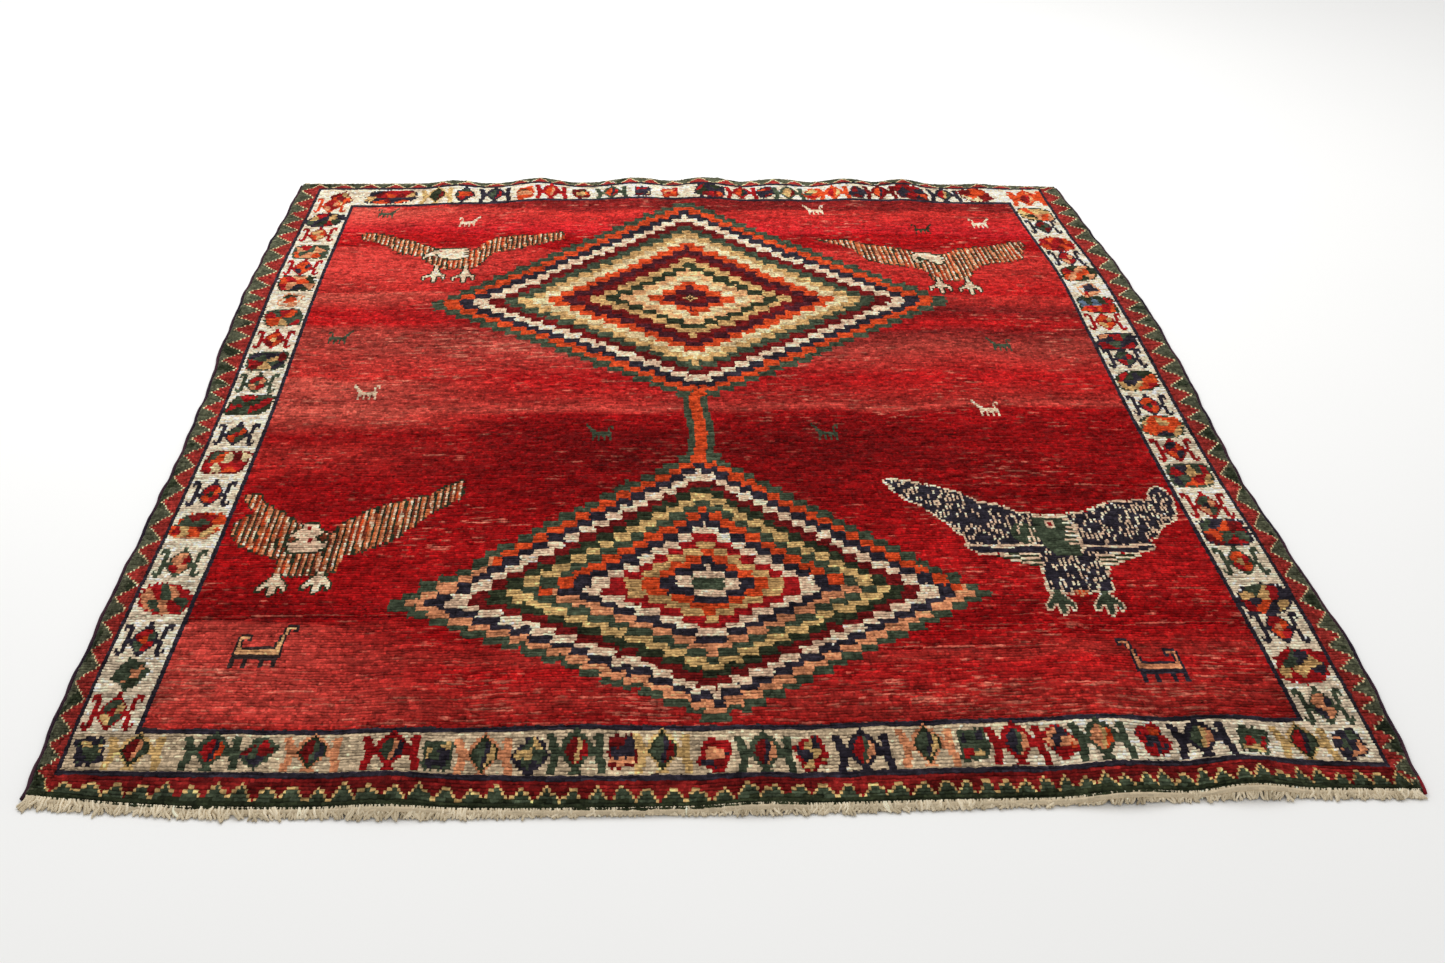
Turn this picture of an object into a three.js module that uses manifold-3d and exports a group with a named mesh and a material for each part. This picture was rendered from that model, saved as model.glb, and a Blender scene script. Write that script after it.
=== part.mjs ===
// A hand-knotted wool rug lying on the floor, in millimetres, +Z up.
// The knotted body is one sheet with uneven sides and low ripples that start at its two ends.
// An overcast cord runs down each side, and each end has a short cotton fringe on a narrow woven strip.

import * as THREE from 'three';
import { mergeVertices } from 'three/addons/utils/BufferGeometryUtils.js';
import Module from 'manifold-3d';

const wasm = await Module();
wasm.setup();

// Driving dimensions
const WIDTH = 1570; // between the outsides of the two side cords, at the corners
const LENGTH = 1830; // of the knotted part, at the corners
const THICKNESS = 10; // foundation and pile together
const CORD_DIAMETER = 7;
const STRIP_DEPTH = 4; // of the woven strip that each fringe grows from
const STRIP_HEIGHT = 3;
const FRINGE_LENGTH = 19; // from the strip to the tips
const LENGTH_SPREAD = 0.15; // of it, by which the shortest locks are shorter
const LOCK_WIDTH = 9;
const LOCK_HEIGHT = 2.4;
const LOCK_TAPER = 0.35; // lost from root to tip
const LEAN = 2; // sideways at the tip, at most
const LOCKS_PER_END = 100;
const GAP = 0.3; // left between neighbouring pieces

// Mesh steps
const STEPS_ACROSS = 56;
const STEPS_ALONG = 20;
const CORD_SIDES = 8;

// How far each side stands out past the nominal width, at even stations from the front end to the back.
const SIDE_TABLE = [
  { left: 4, right: -4 },
  { left: 7, right: 14 },
  { left: 5, right: 10 },
  { left: 1, right: 6 },
  { left: 2, right: 18 },
  { left: 13, right: 26 },
  { left: 15, right: 22 },
  { left: 9, right: 8 },
  { left: 1, right: -6 },
];

// How far each end stands out past the nominal length, at even stations from left to right.
const END_TABLE = [
  { front: 0, back: 0 },
  { front: 20, back: 4 },
  { front: 25, back: 8 },
  { front: 29, back: 16 },
  { front: 27, back: 22 },
  { front: 22, back: 23 },
  { front: 18, back: 20 },
  { front: 8, back: 12 },
  { front: 11, back: 2 },
];

// Ripples that rise at one end of the rug and die out after their reach.
// The curl is the extra lift in the last stretch before the edge.
const RIPPLES = [
  { end: 'front', at: -385, halfWidth: 90, rise: 5, reach: 520, curl: 0 },
  { end: 'front', at: 25, halfWidth: 80, rise: 4, reach: 260, curl: 0 },
  { end: 'front', at: 440, halfWidth: 90, rise: 6, reach: 420, curl: 1 },
  { end: 'front', at: 580, halfWidth: 80, rise: 7, reach: 340, curl: 2 },
  { end: 'back', at: -470, halfWidth: 70, rise: 2, reach: 300, curl: 5 },
  { end: 'back', at: -300, halfWidth: 85, rise: 4, reach: 380, curl: 7 },
  { end: 'back', at: -100, halfWidth: 95, rise: 4, reach: 420, curl: 6 },
  { end: 'back', at: 40, halfWidth: 85, rise: 5, reach: 420, curl: 5 },
  { end: 'back', at: 192, halfWidth: 80, rise: 3, reach: 300, curl: 4 },
  { end: 'back', at: 335, halfWidth: 80, rise: 4, reach: 380, curl: 5 },
  { end: 'back', at: 450, halfWidth: 70, rise: 4, reach: 340, curl: 6 },
  { end: 'back', at: 610, halfWidth: 60, rise: 1, reach: 260, curl: 2 },
];
const CURL_REACH = 110;

// Denser steps near the ends, where the ripples are: share of the length taken back by a sine.
const END_CROWDING = 0.1;

// A table's column at a place from 0 to 1, by a Catmull-Rom spline through its evenly spaced rows.
function fromTable(table, column, place) {
  const last = table.length - 1;
  const row = Math.min(Math.floor(place * last), last - 1);
  const t = place * last - row;
  const value = (i) => table[THREE.MathUtils.clamp(i, 0, last)][column];
  const [a, b, c, d] = [value(row - 1), value(row), value(row + 1), value(row + 2)];
  return b + 0.5 * t * (c - a + t * (2 * a - 5 * b + 4 * c - d + t * (3 * (b - c) + d - a)));
}

// One smooth hump: 1 at the middle, 0 from one unit outwards.
function hump(t) {
  return Math.abs(t) < 1 ? (1 + Math.cos(Math.PI * t)) / 2 : 0;
}

// The outside of the rug at a place along it, and its two ends at a place across it.
function sides(along) {
  return {
    left: -WIDTH / 2 - fromTable(SIDE_TABLE, 'left', along),
    right: WIDTH / 2 + fromTable(SIDE_TABLE, 'right', along),
  };
}

function ends(across) {
  return {
    front: -LENGTH / 2 - fromTable(END_TABLE, 'front', across),
    back: LENGTH / 2 + fromTable(END_TABLE, 'back', across),
  };
}

// How high the underside lies over the floor.
function lift(x, along) {
  let height = 0;
  for (const ripple of RIPPLES) {
    const inward = (ripple.end === 'front' ? along : 1 - along) * LENGTH;
    const risen = ripple.rise * hump(inward / ripple.reach) + ripple.curl * hump(inward / CURL_REACH);
    height += risen * hump((x - ripple.at) / ripple.halfWidth);
  }
  return height;
}

// The point of the knotted sheet at a share of its width and length, on its underside.
function onSheet(across, along) {
  const { left, right } = sides(along);
  const { front, back } = ends(across);
  const inset = CORD_DIAMETER + GAP;
  const x = THREE.MathUtils.lerp(left + inset, right - inset, across);
  const y = THREE.MathUtils.lerp(front, back, along);
  return new THREE.Vector3(x, y, lift(x, along));
}

function crowded(t) {
  return t - END_CROWDING * Math.sin(2 * Math.PI * t);
}

// Moves every vertex of a geometry to where placed(vertex) says.
function bend(geometry, placed) {
  const position = geometry.attributes.position;
  const vertex = new THREE.Vector3();
  for (let i = 0; i < position.count; i++) {
    vertex.fromBufferAttribute(position, i);
    const moved = placed(vertex);
    position.setXYZ(i, moved.x, moved.y, moved.z);
  }
  geometry.deleteAttribute('normal');
  geometry.deleteAttribute('uv');
  return mergeVertices(geometry, 1e-4);
}

// The knotted body: a thin box whose top and underside both follow the ripples.
function knottedBody() {
  const box = new THREE.BoxGeometry(1, 1, THICKNESS, STEPS_ACROSS, STEPS_ALONG, 1);
  return bend(box, (v) => {
    const point = onSheet(v.x + 0.5, crowded(v.y + 0.5));
    point.z += v.z + THICKNESS / 2;
    return point;
  });
}

// A side cord: a cylinder laid along the sheet, with its steps beside the sheet's own.
function sideCord(side) {
  const radius = CORD_DIAMETER / 2;
  const outward = side === 'left' ? -1 : 1;
  const rod = new THREE.CylinderGeometry(radius, radius, 1, CORD_SIDES, STEPS_ALONG);
  return bend(rod, (v) => {
    const edge = onSheet(side === 'left' ? 0 : 1, crowded(v.y + 0.5));
    const axis = edge.x + outward * (GAP + radius);
    return new THREE.Vector3(axis + v.x, edge.y, edge.z + radius + v.z);
  });
}

// The way out of the rug at one of its ends.
function outwardAt(end) {
  return end === 'front' ? -1 : 1;
}

// A point on the inner foot of the woven strip, a gap outside the end of the sheet.
function stripFoot(end, across) {
  const point = onSheet(across, end === 'front' ? 0 : 1);
  point.y += outwardAt(end) * GAP;
  return point;
}

function wovenStrip(end) {
  const box = new THREE.BoxGeometry(1, STRIP_DEPTH, STRIP_HEIGHT, STEPS_ACROSS, 1, 1);
  return bend(box, (v) => {
    const point = stripFoot(end, v.x + 0.5);
    point.y += v.y + outwardAt(end) * STRIP_DEPTH / 2;
    point.z += v.z + STRIP_HEIGHT / 2;
    return point;
  });
}

// A repeatable uneven number from -1 to 1 for each lock.
function uneven(index, seed) {
  const wave = Math.sin((index + 1) * 12.9898 + seed * 78.233) * 43758.5453;
  return 2 * (wave - Math.floor(wave)) - 1;
}

// One lock of warp ends: it leaves the strip, narrows, leans a little and comes down to the floor.
function fringeLock(end, index) {
  const foot = stripFoot(end, (index + 0.5) / LOCKS_PER_END);
  const length = FRINGE_LENGTH * (1 - LENGTH_SPREAD * Math.abs(uneven(index, 1)));
  const lean = LEAN * uneven(index, 2);
  const rootDepth = STRIP_DEPTH / 2;
  const box = new THREE.BoxGeometry(LOCK_WIDTH, 1, LOCK_HEIGHT, 1, 2, 1);
  return bend(box, (v) => {
    const out = 0.5 + outwardAt(end) * v.y; // 0 at the root and 1 at the tip
    const size = 1 - LOCK_TAPER * out;
    return new THREE.Vector3(
      foot.x + v.x * size + lean * out,
      foot.y + outwardAt(end) * (rootDepth + out * (rootDepth + length)),
      foot.z * (1 - out) ** 2 + (v.z + LOCK_HEIGHT / 2) * size,
    );
  });
}

function toManifold(geometry) {
  const mesh = new wasm.Mesh({
    numProp: 3,
    vertProperties: new Float32Array(geometry.attributes.position.array),
    triVerts: new Uint32Array(geometry.index.array),
  });
  return new wasm.Manifold(mesh);
}

function toGeometry(manifold) {
  const { vertProperties, triVerts } = manifold.getMesh();
  const geometry = new THREE.BufferGeometry();
  geometry.setAttribute('position', new THREE.BufferAttribute(vertProperties, 3));
  geometry.setIndex(new THREE.BufferAttribute(triVerts, 1));
  return geometry;
}

// The strip and its locks, joined at their roots.
function fringe(end) {
  let joined = toManifold(wovenStrip(end));
  for (let i = 0; i < LOCKS_PER_END; i++) {
    joined = joined.add(toManifold(fringeLock(end, i)));
  }
  return toGeometry(joined);
}

const wool = new THREE.MeshStandardMaterial({ color: 0xa11d22, roughness: 0.95, metalness: 0 });
const darkWool = new THREE.MeshStandardMaterial({ color: 0x2b2430, roughness: 0.95, metalness: 0 });
const cotton = new THREE.MeshStandardMaterial({ color: 0xcfc0a2, roughness: 0.9, metalness: 0 });

const rug = new THREE.Group();

function place(name, geometry, material) {
  const mesh = new THREE.Mesh(geometry, material);
  mesh.name = name;
  rug.add(mesh);
}

place('knotted_body', knottedBody(), wool);
place('left_cord', sideCord('left'), darkWool);
place('right_cord', sideCord('right'), darkWool);
place('front_fringe', fringe('front'), cotton);
place('back_fringe', fringe('back'), cotton);

// The origin is on the floor, under the middle of the rug's bounding box.
const middle = new THREE.Box3().setFromObject(rug).getCenter(new THREE.Vector3());
rug.position.set(-middle.x, -middle.y, 0);
rug.updateMatrixWorld(true);

export default rug;
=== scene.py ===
# %% [markdown]
# # A hand-knotted wool rug
# The rug lies flat on a pale floor, and the camera looks down on it from a step before its front end.
# It is built knot by knot: a chart says which dye each knot has, a grid of points says where each knot sits,
# and the two together make the pile.
# The chart comes first because every piece of the rug reads its colours from it.

# %% The frame and the tools
import math

import bpy
import numpy as np
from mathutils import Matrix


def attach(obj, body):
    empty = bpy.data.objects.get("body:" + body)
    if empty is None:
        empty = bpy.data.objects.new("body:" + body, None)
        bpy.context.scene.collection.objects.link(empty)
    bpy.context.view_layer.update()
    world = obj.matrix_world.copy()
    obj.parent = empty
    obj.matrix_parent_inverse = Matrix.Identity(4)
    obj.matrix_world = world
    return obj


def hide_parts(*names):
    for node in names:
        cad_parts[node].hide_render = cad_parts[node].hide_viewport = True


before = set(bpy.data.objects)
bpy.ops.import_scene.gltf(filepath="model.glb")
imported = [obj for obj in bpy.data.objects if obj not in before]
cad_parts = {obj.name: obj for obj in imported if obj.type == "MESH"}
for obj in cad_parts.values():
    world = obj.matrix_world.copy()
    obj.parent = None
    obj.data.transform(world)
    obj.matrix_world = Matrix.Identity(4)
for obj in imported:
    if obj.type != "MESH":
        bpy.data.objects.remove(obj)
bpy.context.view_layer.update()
rng = np.random.default_rng(11)
print("nodes of the frame:", sorted(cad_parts))

# %% [markdown]
# ## Sizes
# All tables are in millimetres on the nominal rug: x from its middle line, y from its front corners.
# Pieces are turned into metres at the very end, when they become meshes.
# The warps are closer together than the rows, so a knot is narrower than it is long.

# %% Sizes and counts
WIDTH, LENGTH = 1570, 1830
THICKNESS = 10
CORD_DIAMETER = 5.6
COLUMNS, ROWS = 536, 356
HALF_ROWS = 2 * ROWS
KNOT_WIDTH, HALF_ROW_DEPTH = 2.9, 2.6  # on average
MIDDLE = (5.41, LENGTH / 2 - 2.76)  # the nominal rug's point that lies at the origin

SIDE_GUARD, SIDE_IVORY = 15, 23  # in columns, with a line of two columns beside each
FRONT_GUARD, BACK_GUARD, END_IVORY = 8, 7, 14  # in rows, with a line of one row beside each

# By column: x of the lengthwise lines at nine even stations from the front end to the back end
LENGTHWISE = {
    0: (-781.7, -784.7, -782.7, -778.7, -779.7, -790.7, -792.7, -786.7, -778.7),
    16: (-757, -758, -752, -747, -746, -748, -750, -745, -739),
    41: (-686, -682, -675, -670, -668, -670, -670, -665, -661),
    495: (676, 678, 676, 672, 672, 676, 679, 663, 655),
    520: (749, 755, 756, 751, 753, 758, 756, 740, 735),
    536: (773.7, 791.7, 787.7, 783.7, 795.7, 803.7, 799.7, 785.7, 771.7),
}

# By row: y of the crosswise lines at nine even stations from the left side to the right side
CROSSWISE = {
    0: (0, -20, -25, -29, -27, -22, -18, -8, -11),
    8.5: (38, 31, 25, 19, 20, 25, 28, 37, 30),
    23.5: (109, 106, 101, 108, 103, 111, 117, 113, 112),
    333.5: (1703, 1709, 1727, 1746, 1752, 1746, 1747, 1736, 1738),
    348.5: (1800, 1802, 1815, 1820, 1820, 1821, 1829, 1815, 1817),
    356: (1830, 1834, 1838, 1846, 1852, 1853, 1850, 1842, 1832),
}

# Ripples rise at one end and die out after their reach. The curl is extra lift just before the edge.
RIPPLES = [
    dict(end="front", at=-385, half_width=90, rise=5, reach=520, curl=0),
    dict(end="front", at=25, half_width=80, rise=4, reach=260, curl=0),
    dict(end="front", at=440, half_width=90, rise=6, reach=420, curl=1),
    dict(end="front", at=580, half_width=80, rise=7, reach=340, curl=2),
    dict(end="back", at=-470, half_width=70, rise=2, reach=300, curl=5),
    dict(end="back", at=-300, half_width=85, rise=4, reach=380, curl=7),
    dict(end="back", at=-100, half_width=95, rise=4, reach=420, curl=6),
    dict(end="back", at=40, half_width=85, rise=5, reach=420, curl=5),
    dict(end="back", at=192, half_width=80, rise=3, reach=300, curl=4),
    dict(end="back", at=335, half_width=80, rise=4, reach=380, curl=5),
    dict(end="back", at=450, half_width=70, rise=4, reach=340, curl=6),
    dict(end="back", at=610, half_width=60, rise=1, reach=260, curl=2),
]
CURL_REACH = 110

# Old fold lines in the pile, as: x, depth, from y, to y.
CREASES = [(-318, 1.3, 180, 900), (-200, 0.8, 300, 640), (470, 0.8, 240, 700), (-470, 0.7, 500, 1100)]

# %% [markdown]
# ## Where a knot lies
# A hand-woven rug is never a true rectangle: its borders wander with the pull of the yarns.
# Counting in columns and rows is straight, and these functions bend the count to the real lines.


# %% From columns and rows to millimetres
def spline(values, place):
    """Catmull-Rom curve through evenly spaced values, at places from 0 at the first to 1 at the last."""
    values = np.asarray(values, float)
    last = len(values) - 1
    step = np.clip(np.floor(place * last).astype(int), 0, last - 1)
    t = place * last - step
    a, b, c, d = (values[np.clip(step + k, 0, last)] for k in (-1, 0, 1, 2))
    return b + 0.5 * t * (c - a + t * (2 * a - 5 * b + 4 * c - d + t * (3 * (b - c) + d - a)))


def between_lines(lines, count, place):
    """Straight interpolation, at a count of knots, between the neighbouring lines of a table."""
    keys = sorted(lines)
    curves = [spline(lines[key], place) for key in keys]
    result = curves[0] + 0 * count
    for low, high, start, stop in zip(keys, keys[1:], curves, curves[1:]):
        share = np.clip((count - low) / (high - low), 0, 1)
        result = np.where(count >= low, start + (stop - start) * share, result)
    return result


def hump(t):
    """One smooth hump: 1 at the middle, 0 from one unit outwards."""
    return np.where(np.abs(t) < 1, (1 + np.cos(np.pi * np.clip(t, -1, 1))) / 2, 0)


def lift(x, along):
    """How high the underside lies over the floor, at x and at a share of the length from the front."""
    height = 0 * x
    for ripple in RIPPLES:
        inward = (along if ripple["end"] == "front" else 1 - along) * LENGTH
        risen = ripple["rise"] * hump(inward / ripple["reach"]) + ripple["curl"] * hump(inward / CURL_REACH)
        height = height + risen * hump((x - ripple["at"]) / ripple["half_width"])
    return height


def on_rug(column, row):
    """The underside's x, y and z in millimetres at a count of columns and rows, both arrays.

    Two waves along each side move x by up to 1.9 mm, and die out within some thirty columns.
    """
    column, row = np.broadcast_arrays(np.asarray(column, float), np.asarray(row, float))
    x = between_lines(LENGTHWISE, column, row / ROWS)
    from_edge = np.minimum(column, COLUMNS - column)
    long_waves = 0.9 * np.sin(row / 7.1 + column / 90)
    short_waves = 1.0 * np.sin(row / 2.9 + 2 * np.sin(row / 23))
    x = x + (long_waves + short_waves) * np.exp(-from_edge / 9)
    y = between_lines(CROSSWISE, row, column / COLUMNS)
    return x, y, lift(x, row / ROWS)


R, C = np.mgrid[0:ROWS, 0:COLUMNS]
KNOT_X, KNOT_Y, _ = on_rug(C + 0.5, R + 0.5)
print("a knot is about %.1f by %.1f mm" % (np.diff(KNOT_X, axis=1).mean(), np.diff(KNOT_Y, axis=0).mean()))

# %% [markdown]
# ## The dyes
# The colours are those of plant-dyed wool, named in sRGB from 0 to 255.
# The chart holds a number for each knot, which is the place of its dye in this table. A second table has the
# yarns that aren't knotted, and the tone that the red wears down to.

# %% Dyes and the empty chart
DYES = dict(
    red=(170, 20, 22),
    maroon=(111, 21, 20),
    crimson=(160, 24, 26),
    brick=(146, 34, 31),
    russet=(154, 46, 40),
    plum=(74, 27, 34),
    ivory=(226, 203, 174),
    sand=(214, 188, 154),
    pearl=(226, 188, 157),
    navy=(46, 41, 50),
    green=(67, 76, 58),
    moss=(48, 54, 36),
    olive=(86, 87, 67),
    orange=(214, 73, 32),
    amber=(196, 100, 56),
    rust=(130, 58, 36),
    salmon=(222, 144, 101),
    peach=(230, 168, 116),
    tan=(200, 156, 100),
    cream=(228, 198, 150),
    yellow=(214, 173, 112),
    brown=(58, 46, 44),
    blue=(92, 108, 126),
)
YARNS = dict(
    worn=(228, 142, 116),
    cord_dark=(44, 34, 48),
    cord_warm=(92, 58, 68),
    mended=(140, 36, 46),
    cotton=(234, 218, 188),
    strip=(206, 188, 158),
)
NAMES = list(DYES)
CODE = {name: number for number, name in enumerate(NAMES)}

chart = np.full((ROWS, COLUMNS), CODE["red"], np.uint8)


def linear(colour):
    """Linear light from sRGB values of 0 to 255."""
    c = np.asarray(colour, float) / 255
    return np.where(c <= 0.04045, c / 12.92, ((c + 0.055) / 1.055) ** 2.4)


def smooth_noise(shape, cell_rows, cell_columns):
    """Random values on a coarse grid, blended between its points by 3t^2 - 2t^3, for an array of a shape."""
    grid = rng.random((int(shape[0] / cell_rows) + 3, int(shape[1] / cell_columns) + 3))
    r, c = np.arange(shape[0])[:, None] / cell_rows, np.arange(shape[1])[None, :] / cell_columns
    i, j = r.astype(int), c.astype(int)
    u, v = (t * t * (3 - 2 * t) for t in (r - i, c - j))
    near = grid[i, j] * (1 - v) + grid[i, j + 1] * v
    far = grid[i + 1, j] * (1 - v) + grid[i + 1, j + 1] * v
    return near * (1 - u) + far * u


def nearest_knot(x, y):
    """Row and column of the knot nearest to a place on the nominal rug."""
    away = (KNOT_X - x) ** 2 + (KNOT_Y - y) ** 2
    return np.unravel_index(np.argmin(away), away.shape)


def paint(mask, dye):
    """Gives every knot of the mask one dye."""
    chart[mask] = CODE[dye]


def grown(mask):
    """The mask with the knots beside, before and behind it."""
    wide = mask.copy()
    wide[1:] |= mask[:-1]
    wide[:-1] |= mask[1:]
    wide[:, 1:] |= mask[:, :-1]
    wide[:, :-1] |= mask[:, 1:]
    return wide


def stamp(rows, x, y, dyes, flip=False):
    """Puts a small chart, written as lines of letters from back to front, with its middle at a place.

    Each letter is a key of dyes, and a dot leaves the ground as it is.
    """
    row, column = nearest_knot(x, y)
    rows = [line[::-1] for line in rows] if flip else rows
    top = row + len(rows) // 2
    left = column - len(rows[0]) // 2
    for down, line in enumerate(rows):
        for right, letter in enumerate(line):
            if letter != ".":
                chart[top - down, left + right] = CODE[dyes[letter]]


# %% [markdown]
# ## Borders
# From the outside in come a guard stripe of triangles, a dark line, the ivory border and a dark line again.
# Each knot's distance from the four sides, counted in knots, tells which of them it belongs to.

# %% Ivory border and its two lines
from_left, from_right = C, COLUMNS - 1 - C
from_front, from_back = R, ROWS - 1 - R
from_side = np.minimum(from_left, from_right)

side_line = (from_side - SIDE_GUARD) // 2  # a line is two columns wide
outer = np.minimum.reduce([side_line, from_front - FRONT_GUARD, from_back - BACK_GUARD])
inner = np.minimum.reduce([
    (from_side - SIDE_GUARD - 2 - SIDE_IVORY) // 2,
    from_front - FRONT_GUARD - 1 - END_IVORY,
    from_back - BACK_GUARD - 1 - END_IVORY,
])
paint(outer >= 0, "ivory")
front_border = (outer > 0) & (R < FRONT_GUARD + 1 + END_IVORY)
paint(front_border & (KNOT_X < 340 + 60 * np.sin(R)), "sand")  # a warmer wool was used for most of the front
paint(outer == 0, "navy")
paint(inner >= 0, "red")
paint(inner == 0, "navy")
end_line = ((outer == 0) | (inner == 0)) & (np.minimum(from_front, from_back) < FRONT_GUARD + END_IVORY + 3)
paint(np.roll(end_line, 1, axis=0) & (smooth_noise(chart.shape, 2, 2.2) > 0.74), "brown")
field = inner > 0
guard = outer < 0
print("knots in the field %d, in the ivory border %d, in the guards %d" % (
    field.sum(), ((outer > 0) & (inner < 0)).sum(), guard.sum()))


# %% [markdown]
# The guards differ. Along the sides and the back, green triangles stand on the outer edge and red ones on the
# inner line, with a thin pale zigzag between. Along the front end stands a row of small stepped green trees
# with yellow outlines, under a plain dark red band. A zigzag is one triangle wave, so each guard needs only
# its period and height.


# %% Guard stripes
def triangle_wave(count, period):
    """A wave from 0 to 1 and back over each period."""
    return 1 - np.abs(2 * ((count / period) % 1) - 1)


def zigzag_guard(mask, out, along, period, low, high):
    """Green outside and red inside of a zigzag that swings between two distances from the edge."""
    wander = along + 2.5 * np.sin(along / 31) + 1.5 * np.sin(along / 13)
    edge = np.floor(low + (high - low) * triangle_wave(wander, period))
    paint(mask & (out < edge), "olive")
    paint(mask & (out < edge) & (smooth_noise(mask.shape, 5, 9) > 0.72), "moss")
    paint(mask & (out > edge), "russet")
    paint(mask & (out == edge), "cream")


end_share = np.minimum(from_front / FRONT_GUARD, from_back / BACK_GUARD)
side_guard = guard & (from_side / SIDE_GUARD <= end_share)
zigzag_guard(side_guard & (C < COLUMNS / 2), from_left, R, period=10.8, low=2, high=14)
closer_in_front = R - 26 + 0.5 * np.minimum(R, 60)  # along the first 60 rows of the right side
zigzag_guard(side_guard & (C > COLUMNS / 2), from_right, closer_in_front, period=11.4, low=2, high=13)

back_guard = guard & ~side_guard & (R > ROWS / 2)
zigzag_guard(back_guard, from_back, C, period=16.5, low=1, high=7)

# The trees stand 28 mm apart, and 22.5 mm apart to the right of x = 230.
front_guard = guard & ~side_guard & (R < ROWS / 2)
trees = np.where(KNOT_X < 230, KNOT_X / 28, 230 / 28 + (KNOT_X - 230) / 22.5)
tree_height = 1.7 + 4.3 * triangle_wave(trees, 1) ** 0.7 + 0.4 * np.sin(trees * 2.4)
tree_height = np.floor(tree_height + 1.2 * (smooth_noise(chart.shape, 400, 2) - 0.5))
paint(front_guard, "brick")
paint(front_guard & (smooth_noise(chart.shape, 4, 12) > 0.45), "maroon")
paint(front_guard & (R <= tree_height), "yellow")
paint(front_guard & (R < tree_height), "green")
paint(front_guard & (R < 1 + 1.6 * smooth_noise(chart.shape, 2, 4)), "moss")

# %% [markdown]
# ## Border motifs
# Two motifs alternate in the ivory border: a flower, and a two-headed beast that is an H with a diamond in
# its middle. The beast has one chart for the ends and a hooked one for the sides, repeated with other dyes.
# Of its letters, o is the beast, d the rim of its diamond, and a, b and c are the patches inside it. No two
# flowers are alike, so a formula makes them, from patches around the points of a loose grid.

# %% Charts of the border motifs
BEAST = """
............o............
...........odo...........
.ooo.....oodddoo....ooo..
.oooo...oodaacdoo..oooo..
..ooo..oodaaaccbdo..ooo..
..oooo.odaaaaccbbdo.ooo..
..oooooodaaaaccbbdooooo..
...oooodaaaaacbbbdooooo..
...ooooodaaaccbbbdooooo..
...ooo..odaaccbdo...ooo..
...ooo...odacbdo....oooo.
..oooo....odddo......ooo.
..ooo......odo.......ooo.
..ooo.....ooooo......ooo.
""".split()

HOOKED = """
..........oo..........
.ooo......oo......ooo.
.oooo....oooo....oooo.
.o.oo...oaaaao...oo.o.
...oo..oaaaaabo..oo...
...oo.oaaaaabbbo.oo...
...oo.oaaaccbbbo.oo...
...oooooacccbboooo....
...oooobbbccaaaoooo...
...oo.obbbbaaaao.oo...
...oo..obbbaaao..oo...
.o.oo...obbaao...oo.o.
.oooo....oooo....oooo.
..oo......oo......oo..
""".split()
FORMS = dict(beast=BEAST, hooked=HOOKED)

# Each flower's columns wide, rows high, roundness (2 is an ellipse), depth of the notches, and the numbers of
# patches across and along.
PATCHED = dict(
    flower=(13.5, 11.5, 2.2, 0.24, 4, 3),
    patchwork=(21, 13, 3.2, 0.10, 5, 2),
    long=(33, 11, 3.6, 0.05, 8, 2),
)
FLOWER_REACH = (9, 18)  # the most rows and columns that a flower has on one side of its middle
IVORY_GROUND = (outer > 0) & (inner < 0)


def patched(form, x, y, outline, fills):
    """A flower of small patches of dye, each being the knots nearest to one point, inside an outline.

    From patch to patch the dye moves one or two on in the list, so neighbours differ. With r as the distance
    from the middle, at 1 on the edge of a rounded box, the flower reaches to
    r = 1.08 - notch * |cos(2 * angle)|, so it has four lobes.
    """
    wide, high, power, notch, *counts = PATCHED[form]
    row, column = nearest_knot(x, y)
    up, out = FLOWER_REACH
    window = (slice(row - up, row + up + 1), slice(column - out, column + out + 1))
    across, along = (C[window] - column) * 2 / wide, (R[window] - row) * 2 / high
    across = across + 0.25 * along * rng.uniform(-1, 1)
    r = (np.abs(across) ** power + np.abs(along) ** power) ** (1 / power)
    angle = np.arctan2(along, across) + rng.uniform(0, np.pi / 2)
    edge = 1.08 - notch * np.abs(np.cos(2 * angle)) + rng.normal(0, 0.04, r.shape)
    patch = np.arange(counts[0] * counts[1])
    places = np.stack(np.divmod(patch, counts[1]), 1) + rng.uniform(0.25, 0.75, (len(patch), 2))
    points = places * 1.8 / counts - 0.9
    away = (across - points[:, :1, None]) ** 2 + (along - points[:, 1:, None]) ** 2
    nearest = np.argmin(away + rng.uniform(0, 0.03, away.shape), axis=0)
    dyes = [CODE[name] for name in (*fills, outline)]
    turn = (patch + rng.integers(0, 2, len(patch)).cumsum()) % len(dyes)
    filled = np.array(dyes)[turn][nearest]
    filled = np.where(r > edge - 2.4 / wide, CODE[outline], filled)
    chart[window] = np.where((r < edge) & IVORY_GROUND[window], filled, chart[window])


# %% [markdown]
# The motifs follow one another in no fixed order, so each border is a table with a line to a motif: its place
# along the border in millimetres, its form, the dye of its outline, and three to five inner dyes.

# %% Places and dyes of the border motifs
FRONT_BORDER = """
-730 flower navy green yellow navy green
-680 beast yellow maroon green salmon
-595 beast green crimson orange navy
-540 flower green crimson navy green maroon
-480 beast salmon maroon navy green
-390 beast crimson green navy salmon
-335 flower green navy navy yellow green
-285 beast salmon green yellow navy
-230 flower navy green yellow yellow green
-180 beast green maroon crimson yellow
-125 flower maroon navy salmon crimson navy
-80 beast yellow green maroon navy
-20 flower crimson maroon navy salmon crimson
35 beast green maroon salmon navy
90 flower crimson yellow crimson navy yellow
150 beast navy crimson salmon green
225 beast salmon green yellow navy
280 flower green navy yellow crimson green
330 beast crimson navy salmon green
380 flower crimson salmon navy salmon orange
430 beast green salmon orange yellow
490 flower crimson navy orange crimson navy
545 beast navy green salmon yellow
605 flower green crimson yellow crimson green
665 beast yellow crimson green navy
720 flower navy salmon green navy salmon
"""
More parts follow.
